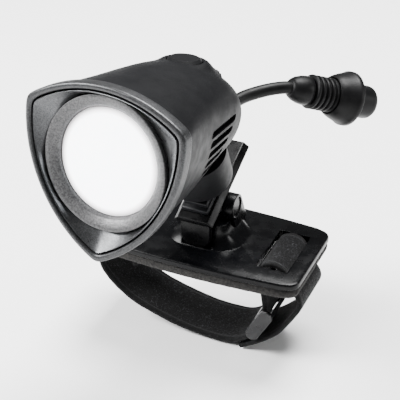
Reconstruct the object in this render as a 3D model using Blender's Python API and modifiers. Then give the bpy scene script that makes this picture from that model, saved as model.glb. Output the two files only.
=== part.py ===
"""Helmet headlamp: a lamp head on a tilting and swivelling bracket, with a strap base and a plug lead.

Frame: metres, +Z up. The origin is the middle of the underside of the foam pad, where the lamp
rests on a helmet. X runs along the base plate, the lamp shines towards -Y, and Z leaves the helmet.
Shapes are written in millimetres and scaled by MM when a mesh is made.
"""
import math

import bmesh
import bpy
from mathutils import Euler, Matrix, Vector

MM = 0.001
GAP = 0.3                      # clearance between touching pieces

# ---- driving dimensions, in millimetres and degrees ----
HEAD_WIDTH = 50.0              # across the rounded triangle of the front
SIDE_RADIUS = 43.0             # bulge of each side of that triangle
SIDE_DISTANCE = 22.2           # centre of the triangle to the middle of a side
HEAD_CENTRE = (-5.9, -57.5, 58.5)
HEAD_PITCH = 9.5               # nose up
HEAD_YAW = -5.2
HEAD_DEPTH = 57.0
BEZEL_DEPTH = 3.6
LENS_RADIUS = 19.0             # outside of the round lens ring
LIGHT_RADIUS = 14.9            # clear part of the lens
WALL = 1.8

PLATE_HALF_LENGTH = 37.0
PLATE_HALF_WIDTH = 17.4        # at the ends
PLATE_BOW = 2.0                # extra half width in the middle
FOAM_THICKNESS = 2.8
PLATE_BOTTOM = FOAM_THICKNESS + GAP
PLATE_TOP = PLATE_BOTTOM + 2.2
SLOT_INNER, SLOT_OUTER = 21.2, 31.8
SLOT_HALF_WIDTH = 11.2
BAR_X, BAR_RADIUS = 26.5, 0.9  # recessed bar that the strap turns round
BAR_Z = PLATE_BOTTOM + 0.7

PIVOT_Y, PIVOT_Z = 2.1, 16.4
TRAY_TILT = 25.5
TRAY_TOP, TRAY_THICKNESS = 7.0, 2.3
TRAY_FRONT, TRAY_REAR = -12.6, 20.5
TRAY_HALF_TOP, TRAY_HALF_LOW = 5.0, 6.6
ARM_HALF_WIDTH = 4.9
EAR_INNER, EAR_OUTER = 5.3, 9.5
EAR_RADIUS = 4.3
EAR_LENGTH = 9.0
KNUCKLE_RADIUS = 3.8
SCREW_FRONT, SCREW_REAR = -4.8, 6.8   # ball foot screws, along the tray from the ball centre
BOLT_RADIUS = 1.5
HUMP_Y = 1.5
BALL_RADIUS = 9.0
BALL_Y, BALL_Z = -1.4, 18.7           # ball centre along and above the tray, from the pivot

STRAP_WIDTH, STRAP_THICKNESS = 20.0, 1.5
CABLE_DIAMETER = 4.1
BUTTON_DEPTH, BUTTON_TOP, BUTTON_RADIUS = 42.0, 21.2, 5.2
GLAND_X, GLAND_Z = 4.0, 1.5
SOCKET_RADIUS, SOCKET_TOP = 10.6, 9.8   # about the ball, in the underside of the housing

scene = bpy.context.scene
for old in list(bpy.data.objects):
    bpy.data.objects.remove(old, do_unlink=True)

parts = bpy.data.collections.new("helmet_headlamp")
cutters = bpy.data.collections.new("cutters")
scene.collection.children.link(parts)
scene.collection.children.link(cutters)


# ---- materials ----
def material(name, colour, roughness, metallic=0.0):
    mat = bpy.data.materials.new(name)
    mat.use_nodes = True
    shader = mat.node_tree.nodes["Principled BSDF"]
    shader.inputs["Base Color"].default_value = (*colour, 1.0)
    shader.inputs["Roughness"].default_value = roughness
    shader.inputs["Metallic"].default_value = metallic
    return mat


SHELL = material("shell_plastic", (0.022, 0.023, 0.026), 0.55)
SATIN = material("bezel_coating", (0.20, 0.21, 0.22), 0.38, 0.5)
BLACK = material("black_plastic", (0.012, 0.012, 0.014), 0.35)
GLOSS = material("gloss_plastic", (0.015, 0.016, 0.018), 0.22)
RUBBER = material("black_rubber", (0.02, 0.02, 0.022), 0.7)
FOAM = material("foam", (0.04, 0.036, 0.032), 0.95)
WEBBING = material("webbing", (0.012, 0.012, 0.013), 0.95)
CLEAR = material("clear_lens", (0.92, 0.94, 0.96), 0.05)
LIT = material("lit_optic", (0.98, 0.98, 1.0), 0.2)
LED = material("led_yellow", (0.9, 0.75, 0.25), 0.3)
BOARD = material("circuit_board", (0.02, 0.10, 0.05), 0.5)
WHITE_BOARD = material("white_board", (0.85, 0.85, 0.83), 0.5)
ALUMINIUM = material("aluminium", (0.62, 0.63, 0.65), 0.35, 1.0)
STEEL = material("steel", (0.45, 0.46, 0.47), 0.3, 1.0)
KEEPER = material("buckle_plastic", (0.06, 0.06, 0.065), 0.4)
GREY = material("grey_plastic", (0.10, 0.10, 0.11), 0.5)


# ---- frames ----
def empty(name, matrix, parent=None):
    frame = bpy.data.objects.new(name, None)
    parts.objects.link(frame)
    frame.empty_display_size = 0.01
    if parent:
        frame.parent = parent
        frame.matrix_parent_inverse = parent.matrix_world.inverted()
    frame.matrix_basis = matrix
    bpy.context.view_layer.update()
    return frame


def pose(location, rotation=(0.0, 0.0, 0.0)):
    turn = Euler([math.radians(a) for a in rotation]).to_matrix().to_4x4()
    return Matrix.Translation(Vector(location) * MM) @ turn


def along(location, direction):
    """Pose whose local Z points along a direction."""
    turn = Vector(direction).to_track_quat("Z", "Y").to_matrix().to_4x4()
    return Matrix.Translation(Vector(location) * MM) @ turn


base_frame = empty("base_frame", Matrix())
tilt_axis = empty("tilt_axis", pose((0, PIVOT_Y, PIVOT_Z), (TRAY_TILT, 0, 0)), base_frame)
swivel_axis = empty("swivel_axis", tilt_axis.matrix_world @ pose((0, BALL_Y, BALL_Z)), tilt_axis)
head_frame = empty("head_frame", pose(HEAD_CENTRE, (-HEAD_PITCH, 0, HEAD_YAW)), swivel_axis)


# ---- mesh helpers ----
def finish(obj, mat=None, parent=base_frame, matrix=None, smooth=35.0):
    """Put an object in its frame: matrix is its pose in the parent's own axes."""
    obj.parent = parent
    obj.matrix_basis = matrix if matrix is not None else Matrix()
    if mat:
        obj.data.materials.append(mat)
    if obj.type == "MESH" and smooth:
        obj.data.shade_smooth()
        obj.data.set_sharp_from_angle(angle=math.radians(smooth))
    return obj


def mesh_object(name, mesh_data, cutter=False):
    obj = bpy.data.objects.new(name, mesh_data)
    (cutters if cutter else parts).objects.link(obj)
    if cutter:
        obj.hide_render = True
        obj.display_type = "WIRE"
    return obj


def from_bmesh(name, bm, cutter=False):
    bmesh.ops.recalc_face_normals(bm, faces=bm.faces)
    data = bpy.data.meshes.new(name)
    bm.to_mesh(data)
    bm.free()
    return mesh_object(name, data, cutter)


def box(name, size, centre, cutter=False, bevel=0.0):
    bm = bmesh.new()
    bmesh.ops.create_cube(bm, size=1.0)
    for vert in bm.verts:
        vert.co = Vector([vert.co[i] * size[i] + centre[i] for i in range(3)]) * MM
    if bevel:
        bmesh.ops.bevel(bm, geom=bm.edges, offset=bevel * MM, segments=2, profile=0.5, affect="EDGES")
    return from_bmesh(name, bm, cutter)


def cylinder(name, radius, length, matrix=None, cutter=False, segments=24):
    """Cylinder with its axis on local Z, from 0 to length."""
    bm = bmesh.new()
    bmesh.ops.create_cone(bm, cap_ends=True, segments=segments, radius1=radius * MM,
                          radius2=radius * MM, depth=length * MM)
    shift = Matrix.Translation((0, 0, length * MM / 2))
    bmesh.ops.transform(bm, matrix=(matrix or Matrix()) @ shift, verts=bm.verts)
    return from_bmesh(name, bm, cutter)


def turned(name, profile, steps=32, cutter=False, closed=False):
    """Profile of (radius, height) turned about local Z, run clockwise so that its faces point out."""
    area = sum(a[0] * b[1] - b[0] * a[1] for a, b in zip(profile, profile[1:] + profile[:1]))
    if area > 0:
        profile = profile[::-1]
    data = bpy.data.meshes.new(name)
    count = len(profile)
    edges = [(i, i + 1) for i in range(count - 1)]
    if closed:
        edges.append((count - 1, 0))
    data.from_pydata([(r * MM, 0.0, z * MM) for r, z in profile], edges, [])
    obj = mesh_object(name, data, cutter)
    screw = obj.modifiers.new("turn", "SCREW")
    screw.axis = "Z"
    screw.steps = steps
    screw.render_steps = steps
    screw.use_merge_vertices = True
    screw.merge_threshold = 0.00001
    screw.use_smooth_shade = True
    return obj


def loft(name, rings, ring_closed=False, cutter=False):
    """Skin rings of equal point counts; capped at both ends, or closed into a hoop."""
    bm = bmesh.new()
    rows = [[bm.verts.new(Vector(p) * MM) for p in ring] for ring in rings]
    count = len(rows[0])
    pairs = list(zip(rows, rows[1:]))
    if ring_closed:
        pairs.append((rows[-1], rows[0]))
    else:
        bm.faces.new(rows[0])
        bm.faces.new(rows[-1])
    for first, second in pairs:
        for i in range(count):
            j = (i + 1) % count
            bm.faces.new((first[i], first[j], second[j], second[i]))
    return from_bmesh(name, bm, cutter)


def prism(name, outline, low, high, axis="Z", cutter=False):
    """Outline of (a, b) points pushed from low to high along an axis."""
    place = {
        "X": lambda a, b, h: (h, a, b),
        "Y": lambda a, b, h: (a, h, b),
        "Z": lambda a, b, h: (a, b, h),
    }[axis]
    return loft(name, [[place(a, b, h) for a, b in outline] for h in (low, high)], cutter=cutter)


def boolean(obj, other, operation):
    step = obj.modifiers.new(operation.lower(), "BOOLEAN")
    step.operation = operation
    step.object = other
    step.solver = "EXACT"


def cut(obj, *others):
    for other in others:
        boolean(obj, other, "DIFFERENCE")


def weld(obj, *others):
    for other in others:
        boolean(obj, other, "UNION")


def arc(centre, radius, start, end, steps):
    return [(centre[0] + radius * math.cos(math.radians(start + (end - start) * i / steps)),
             centre[1] + radius * math.sin(math.radians(start + (end - start) * i / steps)))
            for i in range(steps + 1)]


def rounded_rectangle(half_a, half_b, radius, steps=4):
    points = []
    for sign_a, sign_b, start in ((1, 1, 0), (-1, 1, 90), (-1, -1, 180), (1, -1, 270)):
        centre = (sign_a * (half_a - radius), sign_b * (half_b - radius))
        points += arc(centre, radius, start, start + 90, steps)
    return points


def smooth_path(points, per_span):
    """Catmull-Rom samples through the points, first and last included."""
    ends = [points[0]] + list(points) + [points[-1]]
    samples = []
    for p0, p1, p2, p3 in zip(ends, ends[1:], ends[2:], ends[3:]):
        for k in range(per_span):
            t = k / per_span
            samples.append(tuple(
                0.5 * (2 * b + (c - a) * t + (2 * a - 5 * b + 4 * c - d) * t * t
                       + (3 * b - a - 3 * c + d) * t ** 3)
                for a, b, c, d in zip(p0, p1, p2, p3)))
    samples.append(tuple(points[-1]))
    return samples


# ---- lamp head sections: a triangle with bulging sides, one corner down ----
SECTION_POINTS = 72


def triangle(scale_x, scale_z, lift, depth, grow=0.0, sharp=26.0):
    ring = []
    for k in range(SECTION_POINTS):
        angle = math.radians(360.0 * k / SECTION_POINTS)
        direction = Vector((math.cos(angle), math.sin(angle)))
        total = 0.0
        for middle in (90, 210, 330):
            side = Vector((math.cos(math.radians(middle)), math.sin(math.radians(middle))))
            centre = side * (SIDE_DISTANCE - SIDE_RADIUS)
            inward = centre.dot(direction)
            reach = inward + math.sqrt(inward ** 2 + SIDE_RADIUS ** 2 - centre.length_squared)
            total += reach ** -sharp
        reach = total ** (-1.0 / sharp) * HEAD_WIDTH / 50.0
        ring.append(((reach * scale_x + grow) * direction.x, depth,
                     (reach * scale_z + grow) * direction.y + lift))
    return ring


def circle(radius, depth):
    return [(radius * math.cos(2 * math.pi * k / SECTION_POINTS), depth,
             radius * math.sin(2 * math.pi * k / SECTION_POINTS)) for k in range(SECTION_POINTS)]


# depth, width scale, height scale, lift and corner sharpness of the body behind the bezel
BODY = ((BEZEL_DEPTH + GAP, 0.965, 0.965, 0.0, 30), (10.0, 0.915, 0.955, 0.2, 26),
        (18.0, 0.845, 0.94, 0.5, 20), (28.0, 0.77, 0.92, 1.0, 16), (36.0, 0.725, 0.862, 1.8, 13),
        (44.0, 0.68, 0.77, 2.5, 11), (50.0, 0.63, 0.655, 1.7, 10), (54.5, 0.565, 0.52, -0.2, 9),
        (HEAD_DEPTH, 0.48, 0.41, -0.9, 9))


def body_ring(depth, inset=0.0):
    """Section of the body at a depth, between the stations of BODY."""
    for low, high in zip(BODY, BODY[1:]):
        if low[0] <= depth <= high[0]:
            share = (depth - low[0]) / (high[0] - low[0])
            values = [a + (b - a) * share for a, b in zip(low, high)]
            return triangle(values[1], values[2], values[3], depth, -inset, values[4])
    raise ValueError(depth)


# ---- lamp head ----
def make_bezel():
    band = 1.7
    outer, inner = 1.0, 1.0 - band / SIDE_DISTANCE
    rings = [triangle(outer, outer, 0, 0.5), triangle(outer, outer, 0, BEZEL_DEPTH),
             triangle(inner, inner, 0, BEZEL_DEPTH), triangle(inner, inner, 0, 0.0),
             triangle(0.985, 0.985, 0, 0.0)]
    finish(loft("front_bezel", rings, ring_closed=True), SATIN, head_frame)


def make_shroud():
    edge = 1.0 - 2.05 / SIDE_DISTANCE
    rings = [triangle(edge, edge, 0, 0.5), triangle(edge, edge, 0, 2.6),
             circle(LENS_RADIUS + GAP, 3.4), circle(LENS_RADIUS + GAP, 1.6)]
    finish(loft("lens_shroud", rings, ring_closed=True), SATIN, head_frame)


def facing_back(depth):
    """Pose in the head whose local Z points back into the body, from a depth."""
    return along((0, depth, 0), (0, 1, 0))


def make_optics():
    ring = turned("lens_ring", [(LENS_RADIUS, 4.6), (LENS_RADIUS, 1.4), (LENS_RADIUS - 1.2, 1.4),
                                (LIGHT_RADIUS + 0.3, 3.6), (LIGHT_RADIUS + 0.3, 4.6)], 48, closed=True)
    finish(ring, GREY, head_frame, facing_back(0))
    lens = turned("front_lens", [(0, 6.7), (17.4, 6.7), (17.4, 5.2), (LIGHT_RADIUS - 0.2, 5.2),
                                 (LIGHT_RADIUS - 0.2, 4.2), (0, 4.2)], 48)
    finish(lens, CLEAR, head_frame, facing_back(0))
    seal = turned("lens_seal", [(18.9, 6.7), (18.9, 5.0), (17.75, 5.0), (17.75, 6.7)], 32, closed=True)
    finish(seal, RUBBER, head_frame, facing_back(0))
    tray = turned("collimator_plate", [(0, 8.4), (16.6, 8.4), (16.6, 7.1), (0, 7.1)], 32)
    for k in range(4):
        angle = math.radians(45 + 90 * k)
        cone = turned("collimator_cone_%d" % k, [(0, 12.4), (2.0, 12.4), (5.6, 7.6), (0, 7.6)],
                      16, cutter=True)
        finish(cone, None, head_frame,
               along((7.0 * math.cos(angle), 0, 7.0 * math.sin(angle)), (0, 1, 0)))
        weld(tray, cone)
    finish(tray, LIT, head_frame, facing_back(0))


def make_electronics():
    board = turned("led_board", [(0, 14.9), (14.4, 14.9), (14.4, 13.6), (0, 13.6)], 32)
    finish(board, WHITE_BOARD, head_frame, facing_back(0))
    for k in range(4):
        angle = math.radians(45 + 90 * k)
        spot = (7.0 * math.cos(angle), 13.0, 7.0 * math.sin(angle))
        finish(box("led_emitter_%d" % (k + 1), (2.6, 0.5, 2.6), spot), LED, head_frame)
    sink = turned("heat_sink", [(0, 18.0), (14.6, 18.0), (14.6, 15.2), (0, 15.2)], 32)
    for k in range(7):
        across = (k - 3) * 3.0
        half = math.sqrt(12.6 ** 2 - across ** 2)
        fin = box("fin_%d" % k, (1.1, 13.0, 2 * half), (across, 24.2, 2.4), cutter=True)
        finish(fin, None, head_frame)
        weld(sink, fin)
    finish(sink, ALUMINIUM, head_frame, facing_back(0))
    seal = turned("sink_seal", [(15.9, 17.2), (15.9, 15.6), (14.9, 15.6), (14.9, 17.2)], 32, closed=True)
    finish(seal, RUBBER, head_frame, facing_back(0))
    finish(box("driver_board", (20.0, 1.4, 15.0), (0, 33.5, 2.0)), BOARD, head_frame)
    finish(box("button_switch", (5.0, 5.0, 2.4), (0, BUTTON_DEPTH, BUTTON_TOP - 6.6)), BLACK, head_frame)
    shelf = box("switch_board", (11.0, 11.0, 1.2), (0, BUTTON_DEPTH, BUTTON_TOP - 8.8))
    finish(shelf, BOARD, head_frame)


def make_button():
    cap = turned("power_button", [(0, 0), (BUTTON_RADIUS - 0.8, 0), (BUTTON_RADIUS, -0.8),
                                  (BUTTON_RADIUS, -3.4), (1.4, -3.4), (1.4, -4.2), (0, -4.2)], 32)
    finish(cap, RUBBER, head_frame, pose((0, BUTTON_DEPTH, BUTTON_TOP)))


def flank(depth, height):
    """Half width of the body at a depth and a height."""
    ring = body_ring(depth)
    for low, high in zip(ring, ring[1:] + ring[:1]):
        if low[0] > 0 and min(low[2], high[2]) <= height <= max(low[2], high[2]):
            share = (height - low[2]) / (high[2] - low[2])
            return low[0] + (high[0] - low[0]) * share
    raise ValueError(height)


def vent(index, side):
    """Rounded slit along one flank, the upper ones longer."""
    height = 6.2 - 3.4 * index
    length = 18.0 - 1.6 * index
    front = 26.0 + 0.8 * index
    width = 2.0
    half = (length - width) / 2
    outline = arc((-half, 0), width / 2, 90, 270, 4) + arc((half, 0), width / 2, -90, 90, 4)
    hand = "right" if side > 0 else "left"
    slit = prism("vent_%d_%s" % (index + 1, hand), outline, -1.4, 4.0, cutter=True)
    start = Vector((side * flank(front, height), front, height))
    end = Vector((side * flank(front + length, height), front + length, height))
    fall = flank(front + length / 2, height) - flank(front + length / 2, height - 1.0)
    lean = Vector((side, 0.0, -fall)).normalized()
    run = (end - start).normalized()
    lean = (lean - run * lean.dot(run)).normalized()
    turn = Matrix((run, lean.cross(run), lean)).transposed().to_4x4()
    slit.parent = head_frame
    slit.matrix_basis = Matrix.Translation((start + end) / 2 * MM) @ turn
    return slit


def make_housing():
    inner_depths = (51.0, 44.0, 36.0, 28.0, 18.0)
    rings = [body_ring(d, WALL + 0.4) for d in inner_depths]
    lip = [body_ring(14.9, WALL), body_ring(8.0, WALL - 0.6), body_ring(BEZEL_DEPTH + GAP, WALL - 0.6)]
    outer = [body_ring(station[0]) for station in BODY]
    housing = loft("head_housing", rings + lip + outer)
    hump = turned("button_hump", [(0, 20.4), (6.6, 20.4), (10.0, 17.6), (10.0, 14.0), (0, 14.0)],
                  36, cutter=True)
    finish(hump, None, head_frame, pose((0, BUTTON_DEPTH, 0)))
    weld(housing, hump)
    well = cylinder("button_well", BUTTON_RADIUS + GAP, 16.0, cutter=True, segments=28)
    finish(well, None, head_frame, pose((0, BUTTON_DEPTH, BUTTON_TOP - 12.0)))
    port = cylinder("cable_port", 3.2 + GAP, 12.0, cutter=True)
    finish(port, None, head_frame, along((GLAND_X, HEAD_DEPTH - 8.0, GLAND_Z), (0, 1, 0)))
    socket = cylinder("ball_socket", SOCKET_RADIUS, 26.0, cutter=True, segments=40)
    finish(socket, None, swivel_axis, pose((0, 0, SOCKET_TOP - 26.0)))
    cut(housing, well, port, socket)
    for side in (1, -1):
        for index in range(6):
            cut(housing, vent(index, side))
    finish(housing, SHELL, head_frame)


def make_gland():
    gland = turned("cable_gland", [(0, 5.2), (2.6, 5.2), (3.6, 1.6), (4.4, 1.4), (4.4, GAP), (3.2, GAP),
                                   (3.2, -5.0), (0, -5.0)])
    finish(gland, RUBBER, head_frame, along((GLAND_X, HEAD_DEPTH, GLAND_Z), (0, 1, 0)))


# ---- swivel foot and bracket ----
def make_ball():
    dome = [(BALL_RADIUS * math.cos(math.radians(a)), BALL_RADIUS * math.sin(math.radians(a)))
            for a in range(60, -51, -10)]
    seat = TRAY_TOP + GAP - BALL_Z
    stem = [(4.4, -10.0), (4.4, seat + 1.0), (0, seat + 1.0)]
    foot = turned("ball_foot", [(0, dome[0][1])] + dome + stem, 40)
    for k, (half_x, front, rear, top) in enumerate(((4.5, -8.6, 9.6, 1.9), (4.0, -7.0, 7.6, 3.4))):
        centre = (0, (front + rear) / 2, seat + top / 2)
        step = box("foot_step_%d" % k, (2 * half_x, rear - front, top), centre,
                   cutter=True, bevel=0.3)
        finish(step, None, swivel_axis)
        weld(foot, step)
    for name, y in (("front", SCREW_FRONT), ("rear", SCREW_REAR)):
        bore = cylinder("foot_bore_" + name, 1.1 + GAP, 4.4, cutter=True, segments=16)
        finish(bore, None, swivel_axis, pose((0, y, seat - 1.6)))
        cut(foot, bore)
        low = TRAY_TOP - TRAY_THICKNESS
        line = [(0, low + 4.8), (1.1, low + 4.8), (1.1, low - GAP), (2.0, low - GAP), (2.0, low - 1.4),
                (0, low - 1.4)]
        screw = turned("foot_screw_" + name, line, 16)
        finish(screw, STEEL, tilt_axis, pose((0, BALL_Y + y, 0)))
    finish(foot, GREY, swivel_axis)
    line = [(SOCKET_RADIUS - GAP, 7.2), (SOCKET_RADIUS - GAP, -3.0), (BALL_RADIUS + GAP, -3.0),
            (BALL_RADIUS + GAP, 3.0), (7.6, 6.0), (7.6, 7.2)]
    liner = turned("socket_liner", line, 40, closed=True)
    finish(liner, GREY, swivel_axis)


def make_arm():
    low = TRAY_TOP - TRAY_THICKNESS
    section = [(TRAY_HALF_TOP, TRAY_TOP), (TRAY_HALF_LOW, low + 0.5), (TRAY_HALF_LOW, low),
               (-TRAY_HALF_LOW, low), (-TRAY_HALF_LOW, low + 0.5), (-TRAY_HALF_TOP, TRAY_TOP)]
    arm = prism("tilt_arm", section, TRAY_FRONT, TRAY_REAR, "Y")
    knuckle = cylinder("knuckle", KNUCKLE_RADIUS, 2 * ARM_HALF_WIDTH, cutter=True, segments=32)
    finish(knuckle, None, tilt_axis, along((-ARM_HALF_WIDTH, 0, 0), (1, 0, 0)))
    web = box("web", (2 * ARM_HALF_WIDTH - 0.4, 6.0, low + 0.8), (0, 0, (low + 0.8) / 2), cutter=True)
    finish(web, None, tilt_axis)
    outline = arc((-1.6, 3.4), 3.4, 180, 270, 5) + arc((1.6, 3.4), 3.4, 270, 360, 5)
    outline += [(5.0, 11.7), (-5.0, 11.7)]
    tongue = prism("tongue", outline, 0.0, 2.4, "Y", cutter=True)
    finish(tongue, None, base_frame, pose((0, -10.1, PLATE_TOP + 1.0)))
    weld(arm, knuckle, web, tongue)
    pivot_bore = cylinder("arm_pivot_bore", BOLT_RADIUS + GAP, 14.0, cutter=True)
    finish(pivot_bore, None, tilt_axis, along((-7, 0, 0), (1, 0, 0)))
    cut(arm, pivot_bore)
    for name, y in (("front", SCREW_FRONT), ("rear", SCREW_REAR)):
        bore = cylinder("arm_bore_" + name, 1.1 + GAP, 6.0, cutter=True, segments=16)
        finish(bore, None, tilt_axis, pose((0, BALL_Y + y, low - 2.0)))
        cut(arm, bore)
    finish(arm, BLACK, tilt_axis)


def make_pivot():
    bolt = turned("pivot_bolt", [(0, EAR_OUTER - 0.3), (2.9, EAR_OUTER - 0.3), (2.9, EAR_OUTER - 1.5),
                                 (BOLT_RADIUS, EAR_OUTER - 1.5), (BOLT_RADIUS, -EAR_OUTER + 0.2),
                                 (0, -EAR_OUTER + 0.2)], 24)
    finish(bolt, STEEL, tilt_axis, along((0, 0, 0), (1, 0, 0)))
    nut = turned("pivot_nut", [(2.8, -EAR_OUTER + 2.6), (2.8, -EAR_OUTER + 0.3),
                               (BOLT_RADIUS + GAP, -EAR_OUTER + 0.3),
                               (BOLT_RADIUS + GAP, -EAR_OUTER + 2.6)], 6, closed=True)
    finish(nut, STEEL, tilt_axis, along((0, 0, 0), (1, 0, 0)), smooth=0)


# ---- base ----
def bowed_plate(half_length, half_width, bow, radius):
    """Plan of the base: long sides bow outwards, corners are round."""
    def swell(x):
        return half_width + bow * math.cos(math.pi * x / (2 * half_length))
    edge = [half_length - radius - (half_length - radius) * 2 * k / 12 for k in range(13)]
    points = arc((half_length - radius, half_width - radius), radius, 0, 60, 3)
    points += [(x, swell(x)) for x in edge[1:-1]]
    points += arc((-half_length + radius, half_width - radius), radius, 120, 180, 3)
    return points + [(x, -y) for x, y in reversed(points)]


def strap_windows(grow, low, high):
    windows = []
    for side in (1, -1):
        middle = side * (SLOT_INNER + SLOT_OUTER) / 2
        half = (SLOT_OUTER - SLOT_INNER) / 2 + grow
        window = box("window", (2 * half, 2 * (SLOT_HALF_WIDTH + grow), high - low),
                     (middle, 0, (low + high) / 2), cutter=True)
        window.parent = base_frame
        windows.append(window)
    return windows


def make_base():
    plan = bowed_plate(PLATE_HALF_LENGTH, PLATE_HALF_WIDTH, PLATE_BOW, 4.0)
    inset = bowed_plate(PLATE_HALF_LENGTH - 0.5, PLATE_HALF_WIDTH - 0.5, PLATE_BOW, 4.0)
    base = loft("mount_base", [[(x, y, PLATE_BOTTOM) for x, y in plan],
                               [(x, y, PLATE_TOP - 0.5) for x, y in plan],
                               [(x, y, PLATE_TOP) for x, y in inset]])
    levels = [(PLATE_TOP - 1.0, 14.2, 11.2, 3.0)]
    for k in range(9):
        flare = (1 - k / 8) ** 2.4
        levels.append((PLATE_TOP + 0.1 + 0.95 * k, 8.3 + 5.4 * flare, 7.7 + 3.4 * flare, 3.0))
    hump = loft("hump", [[(x, y + HUMP_Y, z) for x, y in rounded_rectangle(a, b, radius, 6)]
                         for z, a, b, radius in levels], cutter=True)
    hump.parent = base_frame
    weld(base, hump)
    for side, name in ((1, "right"), (-1, "left")):
        outline = arc((0, 0), EAR_RADIUS, 0, 180, 8) + arc((0, -EAR_LENGTH), EAR_RADIUS, 180, 360, 8)
        start, end = sorted((side * EAR_INNER, side * EAR_OUTER))
        ear = prism("ear_%s" % name, outline, start, end, "X", cutter=True)
        finish(ear, None, tilt_axis)
        weld(base, ear)
    floor = PIVOT_Z - KNUCKLE_RADIUS - 0.6
    channel = box("arm_channel", (2 * EAR_INNER, 40.0, 20.0), (0, 0, floor + 10.0), cutter=True)
    finish(channel, None, base_frame)
    room = box("tongue_room", (2 * EAR_INNER, 10.0, 20.0), (0, -11.7, PLATE_TOP + 0.3 + 10.0), cutter=True)
    finish(room, None, base_frame)
    bore = cylinder("ear_bore", BOLT_RADIUS + GAP, 30.0, cutter=True)
    finish(bore, None, tilt_axis, along((-15, 0, 0), (1, 0, 0)))
    head_recess = cylinder("bolt_recess", 3.2, 4.0, cutter=True)
    finish(head_recess, None, tilt_axis, along((EAR_OUTER - 1.8, 0, 0), (1, 0, 0)))
    nut_recess = cylinder("nut_recess", 3.2, 4.0, cutter=True)
    finish(nut_recess, None, tilt_axis, along((-EAR_OUTER + 2.9, 0, 0), (-1, 0, 0)))
    cut(base, channel, room, bore, head_recess, nut_recess, *strap_windows(0.0, 0.0, 9.0))
    for side in (1, -1):
        bar = cylinder("strap_bar", BAR_RADIUS, 2 * SLOT_HALF_WIDTH + 1.0, cutter=True, segments=12)
        finish(bar, None, base_frame, along((side * BAR_X, -SLOT_HALF_WIDTH - 0.5, BAR_Z), (0, 1, 0)))
        weld(base, bar)
    finish(base, GLOSS)


def make_foam():
    plan = bowed_plate(PLATE_HALF_LENGTH - 0.4, PLATE_HALF_WIDTH - 0.4, PLATE_BOW, 4.0)
    foam = loft("foam_pad", [[(x, y, z) for x, y in plan] for z in (0.0, FOAM_THICKNESS)])
    cut(foam, *strap_windows(0.4, -2.0, 6.0))
    finish(foam, FOAM)


# centre of the strap, from the sewn end at the left bar, round under the helmet vents,
# up through the right window, over its bar and back down to the hook-and-loop end
STRAP_ROUTE = (
    (-22.4, -8.0), (-22.4, -3.0), (-22.3, 1.8), (-23.3, 4.5), (-26.5, 5.7), (-29.7, 4.5), (-30.7, 1.8),
    (-31.0, -1.2), (-33.2, -3.6), (-35.2, -7.4), (-34.8, -11.8), (-31.9, -15.8), (-27.5, -19.8),
    (-22.2, -22.9), (-15.6, -25.3), (-8.6, -27.2), (0.0, -28.7), (8.0, -29.0), (13.4, -28.2),
    (17.6, -25.8), (20.6, -22.2), (23.2, -17.6), (24.2, -12.4), (23.5, -6.5), (22.6, -1.5), (22.3, 1.8),
    (23.3, 4.5), (26.5, 5.7), (29.7, 4.5), (30.7, 1.8), (31.4, -1.2), (34.4, -3.4), (36.0, -7.4),
    (33.6, -12.6), (29.8, -18.8), (26.0, -22.8), (22.4, -25.6), (19.2, -27.8), (16.2, -29.6))
BUCKLE_X, BUCKLE_Z, BUCKLE_TURN = 23.2, -17.6, 61.0


def ribbon(name, route, thickness, half_width, per_span=3):
    """Band of constant thickness along a route in the XZ plane."""
    path = [Vector(p) for p in smooth_path(route, per_span)]
    rings = []
    for i, point in enumerate(path):
        run = (path[min(i + 1, len(path) - 1)] - path[max(i - 1, 0)]).normalized()
        across = Vector((-run.y, run.x)) * thickness / 2
        a, b = point + across, point - across
        rings.append([(a.x, -half_width, a.y), (a.x, half_width, a.y),
                      (b.x, half_width, b.y), (b.x, -half_width, b.y)])
    return loft(name, rings)


def make_strap():
    finish(ribbon("helmet_strap", STRAP_ROUTE, STRAP_THICKNESS, STRAP_WIDTH / 2), WEBBING)
    place = pose((BUCKLE_X, 0, BUCKLE_Z), (0, -BUCKLE_TURN, 0))
    half = STRAP_WIDTH / 2
    outline = [(6.9, 0.8), (5.2, 2.4), (-5.2, 2.4), (-6.9, 0.8), (-6.9, -0.8), (-5.2, -2.4),
               (5.2, -2.4), (6.9, -0.8)]
    buckle = prism("strap_buckle", outline, -half - 1.9, -half - 0.5, "Y")
    far = prism("far_plate", outline, half + 0.5, half + 1.9, "Y", cutter=True)
    finish(buckle, KEEPER, base_frame, place)
    finish(far, None, base_frame, place)
    weld(buckle, far)
    for k, height in enumerate((-1.75, 1.75)):
        bar = box("cross_bar_%d" % k, (2.6, STRAP_WIDTH + 2.4, 1.2), (0, 0, height), cutter=True)
        finish(bar, None, base_frame, place)
        weld(buckle, bar)


# ---- lead and plug ----
CABLE_ROUTE = ((3.8, 4.4, 49.4), (4.4, 9.2, 49.3), (6.1, 13.6, 49.7), (9.2, 17.6, 50.2), (13.0, 21.2, 50.6),
               (16.85, 24.05, 50.6))
PLUG_START = (17.2, 24.5, 50.5)
PLUG_DIRECTION = (0.62, 0.70, -0.355)


def make_cable():
    curve = bpy.data.curves.new("power_cable", "CURVE")
    curve.dimensions = "3D"
    curve.bevel_depth = CABLE_DIAMETER / 2 * MM
    curve.bevel_resolution = 2
    curve.use_fill_caps = True
    points = smooth_path(CABLE_ROUTE, 3)
    line = curve.splines.new("POLY")
    line.points.add(len(points) - 1)
    for spot, point in zip(line.points, points):
        spot.co = (*(Vector(point) * MM), 1.0)
    cable = bpy.data.objects.new("power_cable", curve)
    parts.objects.link(cable)
    finish(cable, RUBBER, head_frame, head_frame.matrix_world.inverted())


def on_plug(obj, mat):
    in_head = head_frame.matrix_world.inverted() @ along(PLUG_START, PLUG_DIRECTION)
    finish(obj, mat, head_frame, in_head)


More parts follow.
